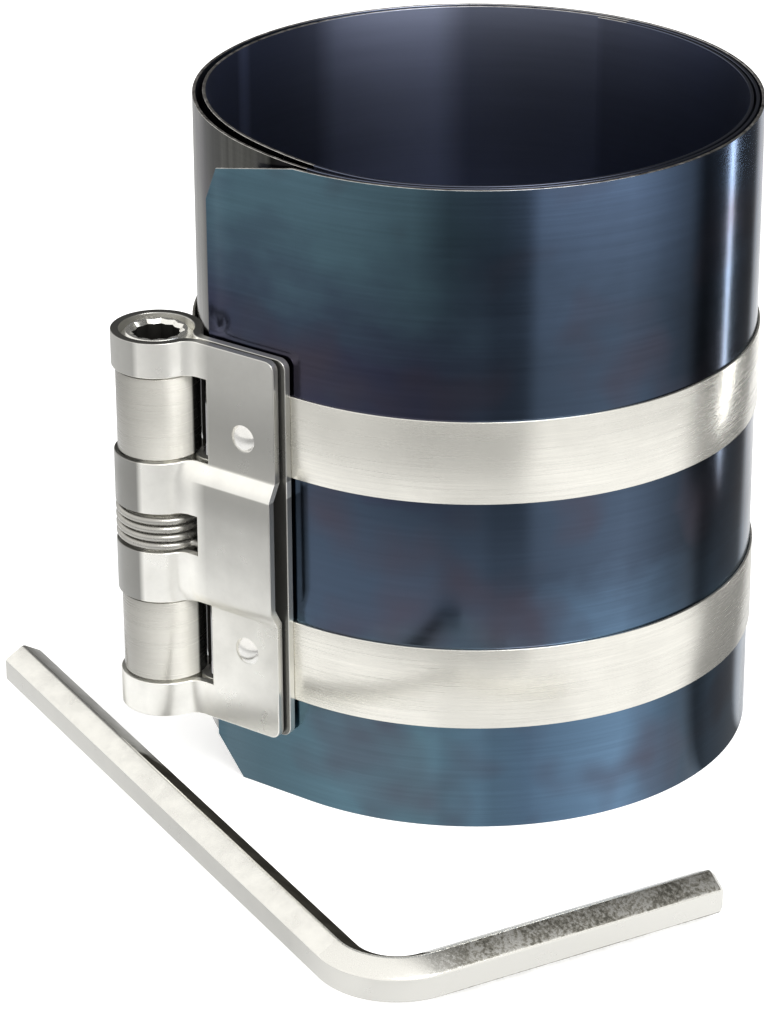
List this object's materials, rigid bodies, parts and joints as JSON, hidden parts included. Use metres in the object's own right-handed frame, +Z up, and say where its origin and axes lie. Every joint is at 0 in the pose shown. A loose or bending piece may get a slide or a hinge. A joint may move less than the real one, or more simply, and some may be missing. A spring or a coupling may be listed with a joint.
{
  "type": "piston ring compressor",
  "caption": "Coiled blued spring-steel sleeve closed round a piston by steel bands that a socketed spindle winds in, held by a wrap-spring clutch, with a loose hex key.",
  "frame": {"origin": "centre of the sleeve's bore at its bottom rim", "axes": "+Z up along the bore, -Y towards the housing's front leaf"},
  "size_m": [0.1044, 0.1029, 0.08],
  "materials": {
    "blued_steel": "blued, satin",
    "band_steel": "bright rolled",
    "plated_sheet": "bright nickel plate",
    "plated_steel": "bright nickel plate",
    "spring_wire": "drawn wire",
    "key_steel": "bright plate"
  },
  "bodies": {
    "clamp": {"sleeve": "blued_steel", "upper_band": "band_steel", "lower_band": "band_steel", "housing": "plated_sheet", "wrap_spring": "spring_wire", "upper_rivet": "plated_steel", "lower_rivet": "plated_steel"},
    "winder": {"spindle": "plated_steel", "upper_roll": "band_steel", "lower_roll": "band_steel"},
    "key": {"hex_key": "key_steel"}
  },
  "joints": [
    {"name": "spindle_turn", "type": "hinge", "parent": "clamp", "child": "winder", "pos_m": [-0.02039, -0.03551, 0.0328], "axis": [0, 0, 1], "range_deg": [-430, 400]},
    {"name": "key_lift", "type": "slide", "parent": "clamp", "child": "key", "axis": [-0.2073, -0.455, 0.866], "range_m": [0, 0.1]}
  ]
}
